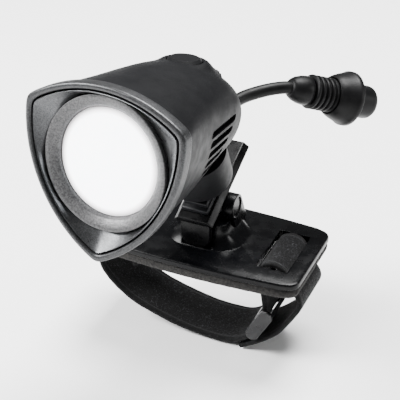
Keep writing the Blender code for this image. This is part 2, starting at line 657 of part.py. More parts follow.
def make_plug():
    relief = [(0, 7.6), (4.7, 7.6), (4.7, 5.8), (3.9, 2.0), (2.9, GAP), (0, GAP)]
    on_plug(turned("plug_relief", relief), RUBBER)
    ribs = [(0, 18.4), (5.7, 18.4), (5.7, 15.6)]
    for k in range(3, -1, -1):
        z = 8.0 + 1.9 * k
        ribs += [(5.6, z + 1.2), (5.6, z), (4.8, z)] + ([(4.8, z - 0.7)] if k else [])
    on_plug(turned("plug_body", ribs + [(0, 8.0)]), RUBBER)
    collar = [(9.0, 24.2), (9.0, 22.2), (8.2, 19.8), (7.0, 17.4), (6.1, 16.3), (6.1, 24.2)]
    on_plug(turned("plug_collar", collar, 40, closed=True), BLACK)
    nose = [(0, 33.0), (4.4, 33.0), (5.5, 31.8), (5.5, 24.6), (5.8, 24.6), (5.8, 18.7), (0, 18.7)]
    on_plug(turned("plug_nose", nose), RUBBER)


def main():
    make_bezel()
    make_shroud()
    make_optics()
    make_electronics()
    make_button()
    make_housing()
    make_gland()
    make_ball()
    make_arm()
    make_pivot()
    make_base()
    make_foam()
    make_strap()
    make_cable()
    make_plug()


main()
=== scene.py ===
import math

import bmesh
import bpy
from mathutils import Euler, Matrix, Vector


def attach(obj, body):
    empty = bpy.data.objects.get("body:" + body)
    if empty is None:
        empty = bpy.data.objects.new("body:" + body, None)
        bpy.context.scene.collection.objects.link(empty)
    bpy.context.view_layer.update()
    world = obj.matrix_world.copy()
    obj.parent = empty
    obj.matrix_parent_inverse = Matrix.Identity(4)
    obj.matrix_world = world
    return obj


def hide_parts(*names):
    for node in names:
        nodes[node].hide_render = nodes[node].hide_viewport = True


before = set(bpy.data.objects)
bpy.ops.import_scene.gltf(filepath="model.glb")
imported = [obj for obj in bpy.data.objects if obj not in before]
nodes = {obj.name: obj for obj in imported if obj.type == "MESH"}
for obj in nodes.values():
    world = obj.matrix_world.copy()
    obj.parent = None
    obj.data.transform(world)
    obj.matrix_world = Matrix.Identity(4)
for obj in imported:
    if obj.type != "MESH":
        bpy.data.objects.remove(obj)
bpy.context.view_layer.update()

MM = 0.001

# ---- design sizes, in millimetres, as in the CAD source ----
SIDE_RADIUS, SIDE_DISTANCE = 43.0, 22.2
LENS_RADIUS, LIGHT_RADIUS, CABLE_DIAMETER = 19.0, 14.9, 4.1
BEZEL_DEPTH, HEAD_DEPTH, GAP = 3.6, 57.0, 0.3
BUTTON_DEPTH, BUTTON_TOP, BUTTON_RADIUS = 42.0, 21.2, 5.2
GLAND_X, GLAND_Z = 4.0, 1.5
PIVOT_Y, PIVOT_Z, TRAY_TILT = 2.1, 16.4, 25.5
TRAY_TOP, TRAY_THICKNESS = 7.0, 2.3
BALL_Y, BALL_Z, BALL_RADIUS = -1.4, 18.7, 9.0
SOCKET_RADIUS, SOCKET_TOP = 10.6, 9.8
PLATE_HALF_LENGTH, PLATE_HALF_WIDTH, PLATE_BOW = 37.0, 17.4, 2.0
PLATE_BOTTOM, PLATE_TOP, FOAM_THICKNESS = 3.1, 5.3, 2.8
SLOT_INNER, SLOT_OUTER, SLOT_HALF_WIDTH = 21.2, 31.8, 11.2
STRAP_WIDTH, STRAP_THICKNESS = 20.0, 1.5
EAR_INNER, EAR_OUTER, EAR_RADIUS, EAR_LENGTH = 5.3, 9.5, 4.3, 9.0
TRAY_FRONT, TRAY_REAR, TRAY_HALF_TOP, TRAY_HALF_LOW = -12.6, 20.5, 5.0, 6.6
ARM_HALF_WIDTH, KNUCKLE_RADIUS, HUMP_Y, BOLT_HEAD_RADIUS = 4.9, 3.8, 1.5, 2.9


def pose(location, rotation=(0.0, 0.0, 0.0)):
    turn = Euler([math.radians(a) for a in rotation]).to_matrix().to_4x4()
    return Matrix.Translation(Vector(location) * MM) @ turn


def along(location, direction):
    turn = Vector(direction).to_track_quat("Z", "Y").to_matrix().to_4x4()
    return Matrix.Translation(Vector(location) * MM) @ turn


TILT = pose((0, PIVOT_Y, PIVOT_Z), (TRAY_TILT, 0, 0))
SWIVEL = TILT @ pose((0, BALL_Y, BALL_Z))
HEAD = pose((-5.9, -57.5, 58.5), (-9.5, 0, -5.2))
BACKWARD = along((0, 0, 0), (0, 1, 0))


# ---- materials ----
class Nodes:
    """Short way to build a node material."""

    def __init__(self, name):
        self.material = bpy.data.materials.new(name)
        self.material.use_nodes = True
        self.tree = self.material.node_tree
        self.shader = self.tree.nodes["Principled BSDF"]
        place = self.tree.nodes.new("ShaderNodeTexCoord")
        self.place = place.outputs["Object"]

    def add(self, kind, **inputs):
        node = self.tree.nodes.new(kind)
        for key, value in inputs.items():
            slot = node.inputs[key.replace("_", " ")]
            if hasattr(value, "is_output"):
                self.tree.links.new(value, slot)
            else:
                slot.default_value = value
        return node

    def link(self, source, slot):
        self.tree.links.new(source, self.shader.inputs[slot])

    def noise(self, scale, detail=3.0, roughness=0.55, stretch=None):
        spot = self.place
        if stretch:
            mapping = self.add("ShaderNodeMapping", Vector=spot)
            mapping.inputs["Scale"].default_value = stretch
            spot = mapping.outputs["Vector"]
        node = self.add("ShaderNodeTexNoise", Vector=spot, Scale=scale, Detail=detail, Roughness=roughness)
        return node.outputs["Fac"]

    def spread(self, source, low, high, at=(0.35, 0.65)):
        ramp = self.add("ShaderNodeMapRange", Value=source)
        for key, value in zip(("From Min", "From Max", "To Min", "To Max"), (*at, low, high)):
            ramp.inputs[key].default_value = value
        return ramp.outputs["Result"]

    def blend(self, share, first, second):
        mix = self.tree.nodes.new("ShaderNodeMix")
        mix.data_type = "RGBA"
        for slot, value in ((mix.inputs["Factor"], share), (mix.inputs[6], first), (mix.inputs[7], second)):
            if hasattr(value, "is_output"):
                self.tree.links.new(value, slot)
            elif isinstance(value, tuple):
                slot.default_value = (*value, 1.0)
            else:
                slot.default_value = value
        return mix.outputs[2]

    def math(self, operation, a, b=0.0):
        node = self.tree.nodes.new("ShaderNodeMath")
        node.operation = operation
        for slot, value in zip(node.inputs, (a, b)):
            if hasattr(value, "is_output"):
                self.tree.links.new(value, slot)
            else:
                slot.default_value = value
        return node.outputs[0]

    def bump(self, height, strength, distance, edge=0.0):
        node = self.add("ShaderNodeBump", Height=height, Strength=strength, Distance=distance * MM)
        if edge:
            soft = self.tree.nodes.new("ShaderNodeBevel")
            soft.samples = 4
            soft.inputs["Radius"].default_value = edge * MM
            self.tree.links.new(soft.outputs["Normal"], node.inputs["Normal"])
        self.link(node.outputs["Normal"], "Normal")


def plastic(name, dark, light, roughness, grain=1500.0, strength=0.25, metallic=0.0, edge=0.25,
            specular=0.5):
    """Moulded or coated surface: fine grain, slow tone change and slightly uneven gloss."""
    m = Nodes(name)
    slow = m.noise(60.0, 4.0)
    fine = m.noise(grain, 2.0)
    m.link(m.blend(m.spread(slow, 0.0, 1.0), dark, light), "Base Color")
    m.link(m.spread(m.noise(240.0, 3.0), roughness - 0.05, roughness + 0.06), "Roughness")
    m.shader.inputs["Metallic"].default_value = metallic
    m.shader.inputs["Specular IOR Level"].default_value = specular
    m.bump(fine, strength, 0.06, edge)
    return m.material


def speckled(name, dark, light, roughness, metallic, scale, strength):
    """Metallic paint: flakes differ in tone and tilt."""
    m = Nodes(name)
    tone = m.spread(m.noise(scale, 2.0, 0.7), 0.0, 1.0, (0.38, 0.62))
    m.link(m.blend(tone, dark, light), "Base Color")
    m.link(m.spread(m.noise(300.0), roughness - 0.04, roughness + 0.06), "Roughness")
    m.shader.inputs["Metallic"].default_value = metallic
    m.bump(m.noise(scale * 0.8, 2.0), strength, 0.08, 0.2)
    return m.material


def webbing(name):
    m = Nodes(name)
    split = m.add("ShaderNodeSeparateXYZ", Vector=m.place)
    across = m.math("ABSOLUTE", split.outputs["Y"])
    edge_line = m.math("COMPARE", across, 8.2 * MM)
    edge_line.node.inputs[2].default_value = 0.28 * MM
    selvedge = m.math("GREATER_THAN", across, 8.5 * MM)
    fuzz = m.noise(1700.0, 3.0, 0.75)
    clumps = m.noise(420.0, 4.0, 0.65)
    pile = m.blend(m.spread(fuzz, 0.0, 1.0, (0.55, 0.66)), (0.0004, 0.0004, 0.0006), (0.045, 0.045, 0.050))
    pile = m.blend(m.spread(clumps, 0.0, 0.6), pile, (0.0004, 0.0004, 0.0006))
    pile = m.blend(m.math("MULTIPLY", edge_line, 0.55), pile, (0.024, 0.024, 0.025))
    pile = m.blend(m.math("MULTIPLY", selvedge, 0.6), pile, (0.002, 0.002, 0.0022))
    m.link(pile, "Base Color")
    m.shader.inputs["Roughness"].default_value = 0.95
    m.shader.inputs["Specular IOR Level"].default_value = 0.15
    m.shader.inputs["Sheen Weight"].default_value = 0.04
    m.shader.inputs["Sheen Roughness"].default_value = 0.6
    both = m.math("ADD", fuzz, m.math("MULTIPLY", clumps, 0.8))
    m.bump(both, 0.9, 0.35)
    return m.material


def foam(name):
    m = Nodes(name)
    cells = m.add("ShaderNodeTexVoronoi", Vector=m.place, Scale=1400.0)
    m.link(m.blend(m.spread(m.noise(900.0, 3.0), 0.0, 1.0), (0.0016, 0.0015, 0.0014),
                   (0.015, 0.0138, 0.0125)), "Base Color")
    m.shader.inputs["Roughness"].default_value = 1.0
    m.bump(m.math("ADD", cells.outputs["Distance"], m.noise(700.0)), 0.9, 0.3)
    return m.material


def shining(name):
    """Lit window: white, faintly mottled in the middle, warmer and dimmer at the rim."""
    m = Nodes(name)
    middle = HEAD @ Vector((0, 4.2 * MM, 0))
    away = m.add("ShaderNodeVectorMath", Vector=m.place)
    away.operation = "DISTANCE"
    away.inputs[1].default_value = middle
    radius = away.outputs["Value"]
    rim = m.spread(radius, 0.0, 1.0, (13.4 * MM, 14.9 * MM))
    cells = m.add("ShaderNodeTexVoronoi", Vector=m.place, Scale=650.0)
    mottle = m.spread(m.math("MULTIPLY", cells.outputs["Distance"], m.noise(120.0)), 0.0, 0.5, (0.05, 0.4))
    colour = m.blend(mottle, (1.0, 1.0, 1.0), (0.80, 0.90, 1.0))
    colour = m.blend(rim, colour, (0.80, 0.72, 0.72))
    m.link(colour, "Emission Color")
    m.link(m.spread(rim, 6.5, 0.35, (0.0, 1.0)), "Emission Strength")
    m.shader.inputs["Base Color"].default_value = (0.8, 0.8, 0.82, 1)
    m.shader.inputs["Roughness"].default_value = 0.15
    return m.material


def board(name, colour):
    m = Nodes(name)
    traces = m.add("ShaderNodeTexBrick", Vector=m.place, Scale=300.0)
    lighter = tuple(min(1.0, c * 1.6 + 0.02) for c in colour)
    m.link(m.blend(traces.outputs["Fac"], colour, lighter), "Base Color")
    m.shader.inputs["Roughness"].default_value = 0.35
    return m.material


SHELL = plastic("shell_plastic", (0.0032, 0.0033, 0.0038), (0.0052, 0.0053, 0.0060), 0.52, 1300.0, 0.35,
                specular=0.07)
SATIN = speckled("bezel_coating", (0.024, 0.0245, 0.0255), (0.055, 0.056, 0.058), 0.36, 0.70, 2600.0, 0.30)
FUNNEL = speckled("funnel_coating", (0.055, 0.056, 0.058), (0.095, 0.097, 0.100), 0.31, 0.92, 2600.0, 0.15)
RING = speckled("ring_coating", (0.040, 0.040, 0.041), (0.092, 0.091, 0.093), 0.42, 0.40, 1900.0, 0.8)
BLACK = plastic("black_plastic", (0.0009, 0.0009, 0.0011), (0.0018, 0.0018, 0.0020), 0.27, 1100.0, 0.15,
                edge=0.35, specular=0.12)
GLOSS = plastic("gloss_plastic", (0.0007, 0.0008, 0.0011), (0.0013, 0.0014, 0.0018), 0.26, 900.0, 0.08,
                edge=0.5, specular=0.14)
FOOT = plastic("grey_plastic", (0.0040, 0.0042, 0.0050), (0.0068, 0.0070, 0.0080), 0.38, 1200.0, 0.15,
               specular=0.18)
RUBBER = plastic("black_rubber", (0.0018, 0.0018, 0.0020), (0.0034, 0.0034, 0.0037), 0.44, 1000.0, 0.3,
                 specular=0.12)
KEEPER = plastic("buckle_plastic", (0.0050, 0.0050, 0.0056), (0.0105, 0.0105, 0.0115), 0.30, 900.0, 0.35,
                 edge=0.4, specular=0.3)
STEEL = plastic("steel", (0.42, 0.43, 0.44), (0.52, 0.53, 0.54), 0.28, 800.0, 0.05, metallic=1.0)
ALUMINIUM = plastic("aluminium", (0.60, 0.61, 0.63), (0.70, 0.71, 0.73), 0.35, 900.0, 0.1, metallic=1.0)
LED = plastic("led_yellow", (0.85, 0.68, 0.20), (0.95, 0.80, 0.35), 0.3)
BOARD = board("circuit_board", (0.02, 0.10, 0.05))
WHITE_BOARD = board("white_board", (0.80, 0.80, 0.78))
WEBBING = webbing("webbing")
FOAM = foam("foam")
LIT = shining("lit_window")

CAD_LOOKS = {
    "ball_foot": FOOT, "button_switch": BLACK, "cable_gland": RUBBER, "collimator_plate": WHITE_BOARD,
    "driver_board": BOARD, "foot_screw_front": STEEL, "foot_screw_rear": STEEL, "front_lens": LIT,
    "heat_sink": ALUMINIUM, "led_board": WHITE_BOARD, "led_emitter_1": LED, "led_emitter_2": LED,
    "led_emitter_3": LED, "led_emitter_4": LED, "lens_seal": RUBBER, "mount_base": GLOSS,
             "pivot_bolt": BLACK,
    "pivot_nut": STEEL, "power_button": SHELL, "sink_seal": RUBBER, "socket_liner": BLACK,
             "strap_buckle": KEEPER,
    "switch_board": BOARD, "tilt_arm": BLACK, "head_housing": SHELL, "front_bezel": SATIN,
             "lens_shroud": FUNNEL,
    "lens_ring": RING, "foam_pad": FOAM, "helmet_strap": WEBBING, "power_cable": RUBBER,
             "plug_relief": RUBBER,
    "plug_body": RUBBER, "plug_collar": BLACK, "plug_nose": RUBBER,
}
for name, look in CAD_LOOKS.items():
    nodes[name].data.materials.clear()
    nodes[name].data.materials.append(look)
    nodes[name].data.shade_smooth()
    nodes[name].data.set_sharp_from_angle(angle=math.radians(32))


# ---- mesh helpers ----
def from_bmesh(name, bm):
    bmesh.ops.recalc_face_normals(bm, faces=bm.faces)
    data = bpy.data.meshes.new(name)
    bm.to_mesh(data)
    bm.free()
    obj = bpy.data.objects.new(name, data)
    bpy.context.scene.collection.objects.link(obj)
    return obj


def loft(name, rings, closed=False):
    """Skin rings of equal point counts, given in millimetres."""
    bm = bmesh.new()
    rows = [[bm.verts.new(Vector(p) * MM) for p in ring] for ring in rings]
    count = len(rows[0])
    pairs = list(zip(rows, rows[1:]))
    if closed:
        pairs.append((rows[-1], rows[0]))
    else:
        bm.faces.new(rows[0])
        bm.faces.new(rows[-1])
    for first, second in pairs:
        for i in range(count):
            j = (i + 1) % count
            bm.faces.new((first[i], first[j], second[j], second[i]))
    return from_bmesh(name, bm)


def turned(name, profile, steps=96, closed=False):
    """Profile of (radius, height) turned about local Z."""
    ring = [(max(r, 0.001), z) for r, z in profile]
    rings = [[(r * math.cos(2 * math.pi * k / steps), r * math.sin(2 * math.pi * k / steps), z)
              for k in range(steps)] for r, z in ring]
    return loft(name, rings, closed)


def box(name, size, centre=(0, 0, 0)):
    bm = bmesh.new()
    bmesh.ops.create_cube(bm, size=1.0)
    for vert in bm.verts:
        vert.co = Vector([vert.co[i] * size[i] + centre[i] for i in range(3)]) * MM
    return from_bmesh(name, bm)


def prism(name, outline, low, high, axis="Z"):
    place = {"X": lambda a, b, h: (h, a, b), "Y": lambda a, b, h: (a, h, b), "Z": lambda a, b,
             h: (a, b, h)}[axis]
    return loft(name, [[place(a, b, h) for a, b in outline] for h in (low, high)])


def arc(centre, radius, start, end, steps):
    return [(centre[0] + radius * math.cos(math.radians(start + (end - start) * i / steps)),
             centre[1] + radius * math.sin(math.radians(start + (end - start) * i / steps)))
            for i in range(steps + 1)]


def smooth_path(points, per_span):
    ends = [points[0]] + list(points) + [points[-1]]
    samples = []
    for p0, p1, p2, p3 in zip(ends, ends[1:], ends[2:], ends[3:]):
        for k in range(per_span):
            t = k / per_span
            samples.append(tuple(
                0.5 * (2 * b + (c - a) * t + (2 * a - 5 * b + 4 * c - d) * t * t
                       + (3 * b - a - 3 * c + d) * t ** 3)
                for a, b, c, d in zip(p0, p1, p2, p3)))
    samples.append(tuple(points[-1]))
    return samples


def settle(obj, *tools):
    """Apply modifiers and remove the shapes that cut."""
    bpy.context.view_layer.update()
    graph = bpy.context.evaluated_depsgraph_get()
    data = bpy.data.meshes.new_from_object(obj.evaluated_get(graph))
    obj.modifiers.clear()
    obj.data = data
    for tool in tools:
        bpy.data.objects.remove(tool)
    return obj


def combine(obj, operation, *tools):
    for tool in tools:
        step = obj.modifiers.new("step", "BOOLEAN")
        step.operation = operation
        step.object = tool
        step.solver = "EXACT"
    return settle(obj, *tools)


def rounded(obj, width, segments=3, limit=32.0):
    step = obj.modifiers.new("round", "BEVEL")
    step.width = width * MM
    step.segments = segments
    step.limit_method = "ANGLE"
    step.angle_limit = math.radians(limit)
    step.harden_normals = False
    return settle(obj)


def show(obj, look, body, matrix=None, replaces=(), smooth=32.0):
    """Put a finished piece in the row frame, on its body."""
    if matrix is not None:
        obj.data.transform(matrix)
    obj.data.materials.clear()
    obj.data.materials.append(look)
    obj.data.shade_smooth()
    obj.data.set_sharp_from_angle(angle=math.radians(smooth))
    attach(obj, body)
    if replaces:
        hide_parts(*replaces)
    return obj


# ---- lamp head ----
POINTS = 216


def triangle(scale_x, scale_z, lift, depth, grow=0.0, sharp=26.0):
    ring = []
    for k in range(POINTS):
        angle = 2 * math.pi * k / POINTS
        direction = Vector((math.cos(angle), math.sin(angle)))
        total = 0.0
        for middle in (90, 210, 330):
            side = Vector((math.cos(math.radians(middle)), math.sin(math.radians(middle))))
            centre = side * (SIDE_DISTANCE - SIDE_RADIUS)
            inward = centre.dot(direction)
            reach = inward + math.sqrt(inward ** 2 + SIDE_RADIUS ** 2 - centre.length_squared)
            total += reach ** -sharp
        reach = total ** (-1.0 / sharp)
        ring.append(((reach * scale_x + grow) * direction.x, depth,
                     (reach * scale_z + grow) * direction.y + lift))
    return ring


def circle(radius, depth):
    return [(radius * math.cos(2 * math.pi * k / POINTS), depth,
             radius * math.sin(2 * math.pi * k / POINTS))
            for k in range(POINTS)]


BODY = ((BEZEL_DEPTH + GAP, 0.965, 0.965, 0.0, 30), (10.0, 0.915, 0.955, 0.2, 26),
        (18.0, 0.845, 0.94, 0.5, 20), (28.0, 0.77, 0.92, 1.0, 16), (36.0, 0.725, 0.862, 1.8, 13),
        (44.0, 0.68, 0.77, 2.5, 11), (50.0, 0.63, 0.655, 1.7, 10), (54.5, 0.565, 0.52, -0.2, 9),
        (HEAD_DEPTH, 0.48, 0.41, -0.9, 9))
STATIONS = smooth_path(BODY, 6)


def body_ring(depth, inset=0.0):
    for low, high in zip(STATIONS, STATIONS[1:]):
        if low[0] <= depth <= high[0] + 1e-6:
            share = (depth - low[0]) / (high[0] - low[0])
            values = [a + (b - a) * share for a, b in zip(low, high)]
            return triangle(values[1], values[2], values[3], depth, -inset, values[4])
    raise ValueError(depth)


def with_hump(ring):
    """Raise the top of a section to the round button hump."""
    raised = []
    for x, y, z in ring:
        away = math.hypot(x, y - BUTTON_DEPTH)
        if z > 8.0 and away < 12.0:
            fall = max(0.0, (away - 6.2) / 4.6)
            crown = 20.35 - 3.4 * min(fall, 1.0) ** 2 * (3 - 2 * min(fall, 1.0))
            soft = 0.35
            z = z + soft * math.log1p(math.exp(min(40.0, (crown - z) / soft))) if away < 11.0 else z
        raised.append((x, y, z))
    return raised


def flank(depth, height):
    ring = body_ring(depth)
    for low, high in zip(ring, ring[1:] + ring[:1]):
        if low[0] > 0 and min(low[2], high[2]) <= height <= max(low[2], high[2]):
            share = (height - low[2]) / (high[2] - low[2])
            return low[0] + (high[0] - low[0]) * share
    raise ValueError(height)


def vent(index, side):
    height = 6.2 - 3.4 * index
    length = 20.0 - 1.7 * index
    front = 25.5 + 0.85 * index
    half = (length - 2.4) / 2
    outline = arc((-half, 0), 1.2, 90, 270, 8) + arc((half, 0), 1.2, -90, 90, 8)
    slit = prism("slit", outline, -1.5, 4.0)
    start = Vector((side * flank(front, height), front, height))
    end = Vector((side * flank(front + length, height), front + length, height))
    fall = flank(front + length / 2, height) - flank(front + length / 2, height - 1.0)
    lean = Vector((side, 0.0, -fall)).normalized()
    run = (end - start).normalized()
    lean = (lean - run * lean.dot(run)).normalized()
    turn = Matrix((run, lean.cross(run), lean)).transposed().to_4x4()
    slit.data.transform(Matrix.Translation((start + end) / 2 * MM) @ turn)
    return slit


def housing():
    inner = [body_ring(d, 2.2) for d in (51.0, 44.0, 36.0, 28.0, 18.0)]
    lip = [body_ring(14.9, 1.8), body_ring(8.0, 1.2), body_ring(BEZEL_DEPTH + GAP, 1.2)]
    outer = [with_hump(body_ring(station[0])) for station in STATIONS]
    shell = loft("visual_housing", inner + lip + outer)
    well = turned("well", [(0, 0), (BUTTON_RADIUS + 0.25, 0), (BUTTON_RADIUS + 0.25, 16), (0, 16)], 64)
    well.data.transform(pose((0, BUTTON_DEPTH, BUTTON_TOP - 12.0)))
    port = turned("port", [(0, 0), (3.4, 0), (3.4, 12), (0, 12)], 48)
    port.data.transform(along((GLAND_X, HEAD_DEPTH - 8.0, GLAND_Z), (0, 1, 0)))
    socket = turned("socket", [(0, 0), (SOCKET_RADIUS, 0), (SOCKET_RADIUS, 26), (0, 26)], 72)
    socket.data.transform(HEAD.inverted() @ SWIVEL @ pose((0, 0, SOCKET_TOP - 26.0)))
    tools = [well, port, socket]
    tools += [vent(index, side) for side in (1, -1) for index in range(6)]
    combine(shell, "DIFFERENCE", *tools)
    show(shell, SHELL, "head", HEAD, ["head_housing"], 38)


def bezel():
    inner, outer = 1.0 - 1.75 / SIDE_DISTANCE, 1.0
    middle, half = (inner + outer) / 2, (outer - inner) / 2
    rings = [triangle(outer, outer, 0, BEZEL_DEPTH, 0, 45)]
    for k in range(9):
        angle = math.pi * k / 8
        share = middle + half * math.copysign(abs(math.cos(angle)) ** 0.7, math.cos(angle))
        rings.append(triangle(share, share, 0, 0.85 - 0.8 * math.sin(angle), 0, 45))
    rings.append(triangle(inner, inner, 0, BEZEL_DEPTH, 0, 45))
    show(loft("visual_bezel", rings, True), SATIN, "head", HEAD, ["front_bezel"], 50)


def funnel():
    edge = 1.0 - 2.15 / SIDE_DISTANCE
    low = edge - 0.40 / SIDE_DISTANCE
    rings = [triangle(edge, edge, 0, 2.6, 0, 60), triangle(edge, edge, 0, 0.55, 0, 60),
             triangle(edge - 0.006, edge - 0.006, 0, 0.35, 0, 60), triangle(low, low, 0, 0.6, 0, 60),
             circle(LENS_RADIUS + 0.35, 3.1), circle(LENS_RADIUS + 0.35, 3.4)]
    show(loft("visual_funnel", rings, True), FUNNEL, "head", HEAD, ["lens_shroud"], 14)


def lens_ring():
    rim = LENS_RADIUS + 0.15
    profile = [(rim, 4.6), (rim, 2.0)]
    profile += [(rim - 0.3 + 0.3 * math.cos(math.radians(a)), 2.0 - 0.3 * math.sin(math.radians(a)))
                for a in (30, 60, 90)]
    profile += [(17.9, 1.85), (16.4, 2.9), (15.9, 3.2), (15.75, 3.5), (LIGHT_RADIUS + 0.5, 4.0),
                (LIGHT_RADIUS + 0.5, 4.6)]
    show(turned("visual_lens_ring", profile, 128, True), RING, "head", HEAD @ BACKWARD, ["lens_ring"], 40)


def window():
    """Lit lens, slightly domed."""
    reach = LIGHT_RADIUS + 0.3
    profile = [(0, 6.6), (reach, 6.6), (reach, 4.25)]
    for k in range(1, 9):
        share = 1 - k / 8
        profile.append((reach * share, 4.2 - 0.3 * (1 - share ** 2)))
    show(turned("visual_lens", profile, 128), LIT, "head", HEAD @ BACKWARD, ["front_lens"], 50)


# ---- ball foot, arm and base ----
def ball_foot():
    dome = [(BALL_RADIUS * math.cos(math.radians(a)),
             BALL_RADIUS * math.sin(math.radians(a))) for a in range(60, -51, -4)]
    seat = TRAY_TOP + GAP - BALL_Z
    ball = turned("visual_ball", [(0, dome[0][1])] + dome + [(5.0, -8.6), (4.5, -10.0), (4.4, seat + 1.0),
                                                             (0, seat + 1.0)])
    for half_x, front, rear, top in ((4.5, -8.6, 9.6, 1.9), (4.0, -7.0, 7.6, 3.4)):
        centre = (0, (front + rear) / 2, seat + top / 2)
        step = box("step", (2 * half_x, rear - front, top), centre)
        rounded(step, 0.3, 3)
        combine(ball, "UNION", step)
    show(ball, FOOT, "arm", SWIVEL, ["ball_foot"], 40)
    reach, inner = SOCKET_RADIUS - GAP, BALL_RADIUS + GAP
    profile = [(reach, 9.4), (reach, -2.6), (reach - 0.2, -2.9), (reach - 0.5, -3.0), (inner, -3.0),
               (inner, 3.0),
               (7.6, 6.0), (5.6, 8.2), (5.6, 9.4)]
    show(turned("visual_liner", profile, 96, True), SHELL, "head", SWIVEL, ["socket_liner"], 50)


def rounded_rectangle(half_a, half_b, radius, steps=10):
    points = []
    for sign_a, sign_b, start in ((1, 1, 0), (-1, 1, 90), (-1, -1, 180), (1, -1, 270)):
        centre = (sign_a * (half_a - radius), sign_b * (half_b - radius))
        points += arc(centre, radius, start, start + 90, steps)
    return points


def arm():
    low = TRAY_TOP - TRAY_THICKNESS
    section = [(TRAY_HALF_TOP, TRAY_TOP), (TRAY_HALF_LOW, low + 0.5), (TRAY_HALF_LOW, low)]
    section += [(-x, z) for x, z in reversed(section)]
    tray = prism("visual_arm", section, TRAY_FRONT, TRAY_REAR, "Y")
    rounded(tray, 0.35, 4, 20)
    tray.data.transform(TILT)
    width = 2 * ARM_HALF_WIDTH
    knuckle = turned("knuckle", [(0, 0), (KNUCKLE_RADIUS, 0), (KNUCKLE_RADIUS, width), (0, width)], 64)
    knuckle.data.transform(TILT @ along((-ARM_HALF_WIDTH, 0, 0), (1, 0, 0)))
    web = box("web", (9.4, 6.0, low + 0.8), (0, 0, (low + 0.8) / 2))
    web.data.transform(TILT)
    outline = arc((-1.6, 3.4), 3.4, 180, 270, 12) + arc((1.6, 3.4), 3.4, 270, 360, 12) + [(5.0, 11.7),
                                                                                          (-5.0, 11.7)]
    tongue = prism("tongue", outline, 0.0, 2.4, "Y")
    tongue.data.transform(pose((0, -10.1, PLATE_TOP + 1.0)))
    rounded(tongue, 0.3, 3, 60)
    combine(tray, "UNION", knuckle, web, tongue)
    show(tray, BLACK, "arm", None, ["tilt_arm"], 40)


def base():
    steps = 60
    rings = []
    for inset, z in ((0.3, PLATE_BOTTOM), (0.0, PLATE_BOTTOM + 0.3), (0.0, PLATE_TOP - 0.6),
                     (0.08, PLATE_TOP - 0.35),
                     (0.3, PLATE_TOP - 0.1), (0.6, PLATE_TOP)):
        rings.append([(x, y, z) for x, y in bowed_plate(PLATE_HALF_LENGTH - inset,
                                                        PLATE_HALF_WIDTH - inset, PLATE_BOW, 4.0, steps)])
    plate = loft("visual_base", rings)
    levels = [(PLATE_TOP - 1.0, 14.2, 11.2)]
    for k in range(25):
        flare = (1 - k / 24) ** 2.4
        levels.append((PLATE_TOP - 0.02 + 7.72 * k / 24, 8.3 + 5.5 * flare, 7.7 + 3.5 * flare))
    hump = loft("hump", [[(x, y + HUMP_Y, z) for x,
                          y in rounded_rectangle(a, b, min(2.2 + 1.4 * (a - 8.3), b - 0.3))]
                         for z, a, b in levels])
    combine(plate, "UNION", hump)
    for side in (1, -1):
        outline = arc((0, 0), EAR_RADIUS, 0, 180, 24) + arc((0, -EAR_LENGTH), EAR_RADIUS, 180, 360, 24)
        start, end = sorted((side * EAR_INNER, side * EAR_OUTER))
        ear = prism("ear", outline, start, end, "X")
        rounded(ear, 0.45, 4, 50)
        groove = turned("groove", [(BOLT_HEAD_RADIUS, 0), (3.35, 0), (3.35, 2), (BOLT_HEAD_RADIUS, 2)], 48,
                        True)
        groove.data.transform(along((side * (EAR_OUTER - 0.5), 0, 0), (side, 0, 0)))
        combine(ear, "DIFFERENCE", groove)
        ear.data.transform(TILT)
        combine(plate, "UNION", ear)
    channel = box("channel", (2 * EAR_INNER, 40.0, 20.0), (0, 0, PIVOT_Z - 4.4 + 10.0))
    room = box("room", (2 * EAR_INNER, 10.0, 20.0), (0, -11.7, PLATE_TOP + 0.3 + 10.0))
    bore = turned("bore", [(0, 0), (BOLT_HEAD_RADIUS, 0), (BOLT_HEAD_RADIUS, 30), (0, 30)], 48)
    bore.data.transform(TILT @ along((-15, 0, 0), (1, 0, 0)))
    windows = []
    for side in (1, -1):
        middle, half = side * (SLOT_INNER + SLOT_OUTER) / 2, (SLOT_OUTER - SLOT_INNER) / 2
        hole = prism("window", [(middle + x, y) for x,
                                y in rounded_rectangle(half, SLOT_HALF_WIDTH, 0.6, 4)], 0.0, 9.0)
        windows.append(hole)
    combine(plate, "DIFFERENCE", channel, room, bore, *windows)
    show(plate, GLOSS, "base", None, ["mount_base"], 33)
    for k, side in enumerate((1, -1)):
        bar = turned("visual_bar_%d" % (k + 1), [(0, 0), (0.9, 0), (0.9, 23.0), (0, 23.0)], 32)
        show(bar, GLOSS, "base", along((side * 26.5, -11.5, PLATE_BOTTOM + 0.7), (0, 1, 0)), (), 50)


def buckle():
    half = STRAP_WIDTH / 2
    outline = [(6.9, 0.8), (5.2, 2.3), (-5.2, 2.3), (-6.9, 0.8), (-6.9, -0.8), (-5.2, -2.3), (5.2, -2.3),
               (6.9, -0.8)]
    whole = prism("visual_buckle", outline, -half - 1.9, -half - 0.5, "Y")
    rounded(whole, 0.4, 3, 30)
    far = prism("far", outline, half + 0.5, half + 1.9, "Y")
    rounded(far, 0.4, 3, 30)
    bars = [box("bar", (2.6, STRAP_WIDTH + 2.4, 1.2), (0, 0, height)) for height in (-1.75, 1.75)]
    combine(whole, "UNION", far, *bars)
    show(whole, KEEPER, "base", pose((BUCKLE_X, 0, BUCKLE_Z), (0, -BUCKLE_TURN, 0)), ["strap_buckle"], 40)


